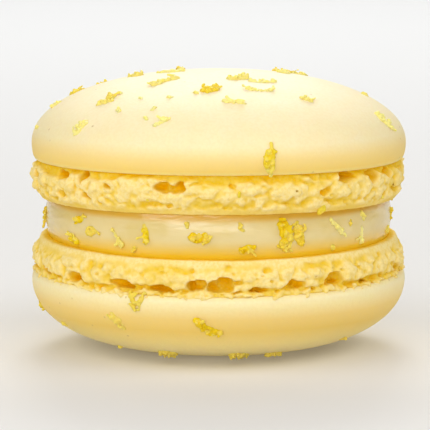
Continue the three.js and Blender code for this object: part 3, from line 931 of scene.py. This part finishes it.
# Strips bend and lift by this much a square millimetre of run, and keep clear of the cream's edges
ZEST_BEND = 0.09
ZEST_LIFT = 0.03
ZEST_CLEARANCE = 0.35
# On the foot it lies on the crumb, this far out of the smooth outline
ON_CRUMB = 0.1
# A strip is grown from grains, one or two side by side at each step along it. Their widths and
# heights are shares of the strip's, and one end may be pale.
GRAIN_PITCH = 0.3
GRAIN_LENGTHS = (0.26, 0.44)
GRAIN_WIDTHS = (0.86, 1.36)
GRAIN_HEIGHTS = (0.85, 1.3)
GRAIN_RISES = (-0.06, 0.12)
GRAIN_STRAY = 0.07
PALE_END = 0.5
PALE_FROM = 0.3
GRAIN_FILLET = 0.07
STRIP_END = 0.2
NARROWEST_END = 0.6
TWO_GRAINS_FROM = 0.42
TWO_GRAINS_ASIDE = 0.45
TWO_GRAINS_WIDTH = 0.66
# Torn oil glands stand on it as small round grains, so many on a square millimetre
GLANDS = 4
GLAND_SIZES = (0.13, 0.22)
GLAND_RISE = 0.04
GLAND_ASIDE = 0.75
GLAND_STRAY = 0.12
GLAND_PALENESS = (0.0, 0.0, 0.0, 0.25)
# Loose tails leave a strip that is long enough, and curl as they rise: how many, and of how many
# grains, each from the first number up to just under the second
TAILED_LENGTH = 1.5
TAILS = (1, 4)
TAIL_GRAINS = (4, 8)
TAIL_GRAIN_LENGTH = 0.2
TAIL_SIZES = (0.16, 0.24)
TAIL_FLATNESS = 0.8
TAIL_CURL = 1.1
TAIL_CLIMB = 0.08
TAIL_STRAY = 0.02
TAIL_STEP = 0.17
TAIL_TURN = 0.35
TAIL_START = 0.22
TAIL_TAPER = 0.95
TAIL_PALENESS = 0.25
# Pits in the surface: depth, size and draw
PITS = ((0.08, 0.36, 0), (0.05, 0.21, 0))
ZEST_CELL = 0.1
# Room round all the grains of a strip, and round one of them
STRIP_ROOM = 0.35
GRAIN_ROOM = 0.3
WALK_STEP = 0.15
# On the front: longitude, latitude (on the cream, height over the lower rim), heading, length and
# width, and how pale with pith. Heading 0 runs round, and 90 towards a dome's middle or up the cream.
UPPER_ZEST = (
    (-100, 66, 60, 2.2, 1.3, 0.5), (-101, 77, 90, 3.6, 0.9, 0.75), (-46, 69, 90, 4.6, 1.0, 0.6),
    (-5, 61, 30, 2.2, 1.6, 0.1), (-52, 43, 45, 2.4, 0.8, 0.5), (-54, 48, 150, 1.7, 1.1, 0.35),
    (-88, 32, 90, 1.4, 1.0, 0.7), (-50, 22, 80, 2.4, 1.1, 0.75), (-20, 31, 46, 2.2, 0.8, 0.8),
    (22, 76, 20, 3.2, 1.5, 0.6), (36, 69, -20, 3.6, 0.7, 0.8), (23, 60, -20, 3.4, 0.7, 0.75),
    (7, 49, -18, 3.0, 0.7, 0.75), (108, 71, 30, 1.9, 1.2, 0.7), (118, 63, 60, 2.0, 1.0, 0.7),
    (41, 48, -70, 1.7, 0.8, 0.6), (69, 22, -70, 3.1, 1.2, 0.75), (15, 1, 85, 3.1, 1.3, 0.05),
)
CREAM_ZEST = (
    (-86, 2.9, 85, 2.0, 1.0, 0), (-52, 3.9, 30, 2.0, 0.8, 0), (-46, 2.7, 5, 2.2, 1.0, 0.25),
    (-56, 1.3, -25, 2.5, 0.9, 0), (-35, 2.3, -60, 2.8, 0.5, 0.5), (-24, 2.9, -85, 2.6, 0.9, 0),
    (-6, 2.7, 0, 2.9, 1.1, 0), (9, 1.4, 10, 2.1, 0.9, 0), (22, 3.0, -80, 4.2, 1.6, 0),
    (26.5, 2.7, -75, 2.8, 1.2, 0.1), (42, 3.2, -42, 3.4, 0.6, 0.75), (54, 1.7, -88, 2.2, 0.7, 0.75),
    (86, 3.1, 90, 1.7, 0.9, 0), (78, 1.2, 50, 1.2, 0.8, 0.3),
)
# The strips low on the underside, at latitudes 57 and 58, are paler with pith partly as painted light,
# which lightens them in the table's shadow
LOWER_ZEST = (
    (-26.3, -26, 62, 2.1, 0.6, 0.2), (-23.9, -26, 113, 2.0, 0.6, 0.3), (-32.5, 18, 62, 2.6, 0.9, 0.4),
    (-3.5, 21, 35, 4.2, 1.0, 0), (-22, 57, 60, 2.3, 1.7, 0.3), (9, 58, 20, 2.5, 1.5, 0.3),
    (26, 60, 0, 2.2, 1.1, 0.3), (-78, 21, 90, 1.3, 0.8, 0),
)
# Specks, wider than strips for their length: longitude, latitude or height, length and paleness
SPECK_WIDTH = 0.6
UPPER_SPECKS = (
    (-12, 58, 0.9, 0.6), (-26, 33, 0.7, 0.8), (-40, 38, 0.9, 0.8), (-53, 52, 0.8, 0.9),
    (-23, 53, 0.9, 0.9), (-26, 41, 0.9, 0.85), (-37, 50, 0.7, 0.9), (-80, 14, 0.8, 0.7),
    (91, 41, 0.9, 0.6), (15, -50, 0.9, 0.5),
)
CREAM_SPECKS = (
    (-28, 1.0, 1.0, 0.2), (-10, 4.3, 0.8, 0.3), (7, 4.0, 1.2, 0.3), (48, 3.6, 0.9, 0.1),
    (55, 4.4, 1.2, 0.5), (40.5, 0.7, 0.9, 0.3), (24, 0.9, 0.7, 0.3), (25.5, 4.2, 0.8, 0.2),
    (20, 1.4, 0.6, 0.1), (90, 4.9, 0.6, 0.2),
)
LOWER_SPECKS = ((-46, 54, 1.0, 0.3), (-64, 32, 0.8, 0.3), (54, 45, 0.7, 0.3))
# On the upper foot: longitude, height over its rim, length and paleness
FOOT_SPECKS = (
    (6, 2.6, 0.7, 0.1), (33.5, 0.35, 1.2, 0.1), (-21, 2.0, 0.5, 0.2), (60, 1.2, 0.6, 0.2),
    (200, 2.2, 0.8, 0.2),
)
# Behind, a rule scatters them: count, lowest and highest latitude or height, and first draw
BACK_LONGITUDES = (128, 262)
BACK_STRAY = 0.6
BACK_LENGTHS = (1.7, 3.6)
BACK_WIDTHS = (0.7, 1.2)
BACK_PALENESS = 0.2
UPPER_BACK = (10, (18, 74), 700)
CREAM_BACK = (10, (1, 4.6), 500)
LOWER_BACK = (6, (12, 60), 300)


def draw(number):
    """A repeatable draw between 0 and 1."""
    wave = math.sin(number * 12.9898) * 43758.5453
    return wave - math.floor(wave)


def draw_between(bounds, number):
    return bounds[0] + (bounds[1] - bounds[0]) * draw(number)


def back_zest(count, stations, first_draw):
    """Strips behind, one to each stretch of the way round: the same as the solids have."""
    for i in range(count):
        number = first_draw + 10 * i
        spread = (i + 0.5 + BACK_STRAY * (draw(number + 1) - 0.5)) / count
        longitude = BACK_LONGITUDES[0] + (BACK_LONGITUDES[1] - BACK_LONGITUDES[0]) * spread
        yield (longitude, draw_between(stations, number + 2), 180 * draw(number + 3),
               draw_between(BACK_LENGTHS, number + 4), draw_between(BACK_WIDTHS, number + 5),
               BACK_PALENESS)


def skin_place(shell):
    """Where a longitude and latitude lie on a shell's skin."""
    def at(longitude, latitude):
        radius, height = skin_point(shell, np.float64(latitude))
        point = place(np.float64(longitude), radius, shell["rim_z"] + shell["up"] * height)
        return drooped(point, shell, droop_share(shell, height))
    return at


def cream_place(longitude, height):
    return filling_point(np.float64(longitude), np.float64(height))


def foot_place(longitude, height):
    """Where a longitude and a height over the rim lie on the upper foot."""
    radius = foot_radius(height / UPPER_SHELL["foot_height"]) + ON_CRUMB
    point = place(np.float64(longitude), radius, UPPER_RIM_Z + np.float64(height))
    return drooped(point, UPPER_SHELL, 1.0)


def ground_at(at, up, longitude, station):
    """The place on a surface, its directions round, up and out, and its speed along the first two."""
    step = 0.001
    middle = at(longitude, station)
    round_way = at(longitude + step, station) - middle
    up_way = at(longitude, station + step) - middle
    speeds = np.linalg.norm(round_way) / step, np.linalg.norm(up_way) / step
    round_way = round_way / np.linalg.norm(round_way)
    up_way = up_way / np.linalg.norm(up_way)
    return middle, round_way, up_way, np.cross(round_way, up_way) * up, speeds


def walked(at, up, longitude, station, heading, run):
    """The place on a surface after a run along a heading, in short steps, with its directions."""
    steps = max(1, round(abs(run) / WALK_STEP))
    for _ in range(steps):
        *_, (round_speed, up_speed) = ground_at(at, up, longitude, station)
        longitude += run / steps * math.cos(heading) / round_speed
        station += run / steps * math.sin(heading) / up_speed
    return ground_at(at, up, longitude, station)[:4]


def strip_grains(at, up, sink, spot, number, chance):
    """Grains along one strip: each with its centre, directions, sizes and paleness."""
    longitude, station, heading, length, width, pith = spot
    bend = ZEST_BEND * (-1 if draw(number) < 0.5 else 1)
    thickness = ZEST_THICKNESS * max(THINNEST_WIDTH, width)
    count = max(3, round(length / GRAIN_PITCH))
    pale_end = chance.choice([-1, 0, 1])
    grains = []
    for i in range(count):
        share = (i + 0.5) / count - 0.5
        run = share * (length - STRIP_END)
        middle, round_way, up_way, out = walked(at, up, longitude, station, heading, run)
        along = round_way * math.cos(heading) + up_way * math.sin(heading)
        aside = np.cross(out, along)
        half = width / 2 * max(NARROWEST_END, math.sqrt(1 - abs(2 * share) ** 4))
        rise = thickness * (0.5 - sink) + ZEST_LIFT * run * run
        paleness = max(pith, PALE_END * max(0.0, 2 * share * pale_end - PALE_FROM))
        two = half > TWO_GRAINS_FROM
        reach = half * (TWO_GRAINS_WIDTH if two else 1.0)
        for across in ((-TWO_GRAINS_ASIDE, TWO_GRAINS_ASIDE) if two else (0.0,)):
            sideways = bend * run * run + across * half + chance.normal(0, GRAIN_STRAY)
            centre = middle + aside * sideways + out * (rise + chance.uniform(*GRAIN_RISES))
            sizes = (chance.uniform(*GRAIN_LENGTHS), reach * chance.uniform(*GRAIN_WIDTHS),
                     thickness / 2 * chance.uniform(*GRAIN_HEIGHTS))
            grains.append((centre, (along, aside, out), sizes, paleness))
    return grains


def gland_grains(strip, count, chance):
    """Small round grains on a strip's grains, some of them pale."""
    for _ in range(count):
        centre, (along, across, out), sizes, paleness = strip[chance.integers(0, len(strip))]
        aside = chance.uniform(-GLAND_ASIDE, GLAND_ASIDE)
        top = (sizes[2] + GLAND_RISE) * math.sqrt(1 - aside * aside)
        size = chance.uniform(*GLAND_SIZES)
        stray = chance.normal(0, GLAND_STRAY)
        centre = centre + along * stray + across * aside * sizes[1] + out * top
        pale = max(paleness, chance.choice(GLAND_PALENESS))
        yield centre, (along, across, out), (size, size, size), pale


def tail_grains(strip, pith, chance):
    """One loose tail: it leaves the strip at one grain and curls as it rises."""
    centre, (along, aside, out), _, _ = strip[chance.integers(0, len(strip))]
    turn = chance.uniform(0, 2 * math.pi)
    curl = chance.uniform(-TAIL_CURL, TAIL_CURL)
    size = chance.uniform(*TAIL_SIZES)
    climb = chance.uniform(0, TAIL_CLIMB)
    centre = centre + out * TAIL_START
    for _ in range(chance.integers(*TAIL_GRAINS)):
        turn += curl * TAIL_TURN
        way = along * math.cos(turn) + aside * math.sin(turn)
        rise = climb + chance.uniform(-TAIL_STRAY, TAIL_STRAY)
        centre = centre + way * TAIL_STEP + out * rise
        sizes = (TAIL_GRAIN_LENGTH, size, size * TAIL_FLATNESS)
        yield centre, (way, np.cross(out, way), out), sizes, max(pith, TAIL_PALENESS)
        size *= TAIL_TAPER


def grains_of_peel(at, up, sink, spot, number, chance):
    """All the grains of one strip, its glands and its loose tails."""
    *_, length, width, pith = spot
    strip = strip_grains(at, up, sink, spot, number, chance)
    grains = [*strip, *gland_grains(strip, round(GLANDS * length * width), chance)]
    for _ in range(chance.integers(*TAILS) if length > TAILED_LENGTH else 0):
        grains += tail_grains(strip, pith, chance)
    return grains


def grown_grains(grains, seed):
    """Points, faces and paleness of grains grown together, with a pitted surface."""
    centres = np.array([centre for centre, _, _, _ in grains])
    largest = max(max(sizes) for _, _, sizes, _ in grains) + STRIP_ROOM
    low = centres.min(0) - largest
    axes = [np.arange(low[i], centres[:, i].max() + largest, ZEST_CELL) for i in range(3)]
    outside = np.full([len(axis) for axis in axes], BAND_CELLS * ZEST_CELL)
    for centre, ways, sizes, _ in grains:
        reach = max(sizes) + GRAIN_ROOM
        first = np.maximum(((centre - reach - low) / ZEST_CELL).astype(int), 0)
        last = ((centre + reach - low) / ZEST_CELL).astype(int) + 2
        spans = tuple(map(slice, first, last))
        offsets = np.stack(np.meshgrid(
            *(axes[i][spans[i]] - centre[i] for i in range(3)), indexing="ij"), axis=-1)
        egg = egg_distance(*(offsets @ way for way in ways), sizes)
        outside[spans] = grown(outside[spans], egg, GRAIN_FILLET)
    near = np.nonzero(np.abs(outside) < NEAR_CELLS * ZEST_CELL)
    points = np.stack([axes[i][near[i]] for i in range(3)], axis=-1)
    outside[near] += uneven(0, points, seed, PITS)
    points, faces = surface_of(outside, ZEST_CELL, low, 0.0)
    away = ((points[:, None, :] - centres[None, :, :]) ** 2).sum(-1)
    paleness = np.array([pale for _, _, _, pale in grains])[away.argmin(1)]
    return points, faces, paleness


PEEL_LEMON = (0.83, 0.61, 0.003, 1)
PEEL_RIPE = (0.81, 0.53, 0.0, 1)
PEEL_GLAND = (0.90, 0.70, 0.03, 1)
PITH = (0.96, 0.88, 0.36, 1)


def zest_finish():
    material, tree, shader = made_material(
        "lemon_zest", Roughness=0.45, Specular_IOR_Level=0.2, Subsurface_Weight=0.45,
        Subsurface_Radius=(1.0, 0.85, 0.15), Subsurface_Scale=0.0007,
    )
    where = add(tree, "ShaderNodeTexCoord").outputs["Object"]
    glands = add(tree, "ShaderNodeTexNoise", None, Vector=where, Scale=1900.0, Detail=2.0)
    colour = mixed(tree, attribute(tree, "ripeness"), PEEL_LEMON, PEEL_RIPE)
    torn = ranged(tree, glands.outputs[0], 0.42, 0.66, 0.0, 0.3)
    colour = mixed(tree, torn, colour, PEEL_GLAND)
    colour = mixed(tree, attribute(tree, "pith"), colour, PITH)
    dress(tree, shader, colour, glands.outputs[0], 0.6, 0.0001)
    return material


peel = zest_finish()


def clear_height(height, heading, length, width):
    """A height on the cream at which a strip stays clear of both shells."""
    lean = math.radians(heading)
    reach = (length * abs(math.sin(lean)) + width * abs(math.cos(lean))) / 2
    margin = min(FILLING_HEIGHT / 2, reach + ZEST_CLEARANCE)
    return min(max(height, margin), FILLING_HEIGHT - margin)


def scatter_zest(name, node, at, up, sink, angular, strips, specks):
    """All the strips and specks on one surface, as one piece. On a dome, places are angular."""
    chance = np.random.default_rng(len(strips))
    spots = list(strips)
    for longitude, station, length, pale in specks:
        heading = chance.uniform(0, 180)
        spots.append((longitude, station, heading, length, SPECK_WIDTH * length, pale))
    points = []
    faces = []
    pith = []
    ripeness = []
    for number, (longitude, station, heading, length, width, pale) in enumerate(spots):
        if angular:
            station = math.radians(station)
        elif number < len(strips):
            station = clear_height(station, heading, length, width)
        spot = (math.radians(longitude), station, math.radians(heading), length, width, pale)
        grains = grains_of_peel(at, up, sink, spot, number, chance)
        strip, sides, paleness = grown_grains(grains, number)
        first = len(pith)
        points.append(strip)
        faces += [tuple(first + corner for corner in face) for face in sides]
        pith += list(paleness)
        ripeness += [chance.uniform(0, 1)] * len(strip)
    zest = new_piece(name, np.vstack(points), faces, peel, node)
    set_mask(zest, "pith", pith)
    set_mask(zest, "ripeness", ripeness)


scatter_zest("lower_zest", "lower_shell", skin_place(LOWER_SHELL), -1, SHELL_SINK, True,
             (*LOWER_ZEST, *back_zest(*LOWER_BACK)), LOWER_SPECKS)
scatter_zest("cream_zest", "filling", cream_place, 1, CREAM_SINK, False,
             (*CREAM_ZEST, *back_zest(*CREAM_BACK)), CREAM_SPECKS)
scatter_zest("foot_zest", "upper_shell", foot_place, 1, SHELL_SINK, False, (), FOOT_SPECKS)
scatter_zest("upper_zest", "upper_shell", skin_place(UPPER_SHELL), 1, SHELL_SINK, True,
             (*UPPER_ZEST, *back_zest(*UPPER_BACK)), UPPER_SPECKS)


# The table, the light and the camera: a white sweep under large soft lights, seen a little from
# above with a long lens. The table glows weakly with a warm light of its own: painted light that
# fills and warms the shadow round the macaron.
TABLE_HALF = 3.0
MACARON_MIDDLE = Vector((0, 0, 17 * MM))
BRIGHT = (1.0, 1.0, 1.0)
WARM = (1.0, 0.97, 0.93)
CAMERA_ELEVATION = 7.8
CAMERA_DISTANCE = 0.5
AIM_X = -0.44
AIM_Z = 16.285
FOCAL = 332.4
PICTURE_WIDTH = 36.0


def stage_floor():
    mesh = bpy.data.meshes.new("table")
    corners = [(x * TABLE_HALF, y * TABLE_HALF, 0) for x, y in ((-1, -1), (1, -1), (1, 1), (-1, 1))]
    mesh.from_pydata(corners, [], [(0, 1, 2, 3)])
    # Painted light: the table's warm glow, though it is no lamp
    material, _, _ = made_material(
        "white_sweep", Base_Color=(0.69, 0.69, 0.69, 1), Roughness=0.9, Specular_IOR_Level=0.1,
        Emission_Color=(1.0, 0.88, 0.70, 1), Emission_Strength=0.12,
    )
    mesh.materials.append(material)
    table = bpy.data.objects.new("table", mesh)
    bpy.context.scene.collection.objects.link(table)


def set_up(name, data, aim, azimuth, elevation, distance):
    """Puts a lamp or the camera round an aim, facing it. Azimuth 0 is in front, 90 at the right."""
    azimuth = math.radians(azimuth)
    elevation = math.radians(elevation)
    level = math.cos(elevation)
    way = Vector((math.sin(azimuth) * level, -math.cos(azimuth) * level, math.sin(elevation)))
    holder = bpy.data.objects.new(name, data)
    holder.location = aim + way * distance
    holder.rotation_mode = "QUATERNION"
    holder.rotation_quaternion = way.to_track_quat("Z", "Y")
    bpy.context.scene.collection.objects.link(holder)
    return holder


def soft_light(name, azimuth, elevation, distance, size, power, colour):
    """A lamp with a width and height in metres and a power in watts."""
    lamp = bpy.data.lights.new(name, "AREA")
    lamp.shape = "RECTANGLE"
    lamp.size, lamp.size_y = size
    lamp.energy = power
    lamp.color = colour
    set_up(name, lamp, MACARON_MIDDLE, azimuth, elevation, distance)


def camera():
    data = bpy.data.cameras.new("camera")
    data.lens = FOCAL
    data.sensor_width = PICTURE_WIDTH
    data.clip_start = 0.01
    data.clip_end = 20
    aim = Vector((AIM_X * MM, 0, AIM_Z * MM))
    bpy.context.scene.camera = set_up("camera", data, aim, 0, CAMERA_ELEVATION, CAMERA_DISTANCE)


stage_floor()
soft_light("back_light", 180, 33, 0.8, (0.25, 0.25), 2.35, (0.98, 1.0, 1.02))
soft_light("high_back_light", 180, 45, 0.6, (0.6, 0.35), 0.9, (0.96, 1.0, 1.04))
soft_light("top_light", 0, 70, 0.5, (0.6, 0.5), 0.75, (1.0, 0.97, 0.92))
soft_light("high_front_light", 0, 38, 0.6, (0.6, 0.3), 0.58, WARM)
soft_light("strip_light", -16, 14, 0.7, (1.02, 0.1), 1.7, BRIGHT)
soft_light("low_front_light", 0, 3, 0.8, (1.2, 0.1), 0.58, BRIGHT)
soft_light("left_light", -70, 38, 0.6, (0.5, 0.3), 0.97, WARM)
soft_light("right_light", 74, 38, 0.6, (0.5, 0.3), 1.18, WARM)
camera()

world = bpy.data.worlds.new("studio")
world.use_nodes = True
background = world.node_tree.nodes["Background"]
background.inputs["Color"].default_value = (0.96, 1.0, 1.04, 1)
background.inputs["Strength"].default_value = 0.06
bpy.context.scene.world = world
bpy.context.scene.view_settings.view_transform = "Standard"
bpy.context.scene.view_settings.look = "None"
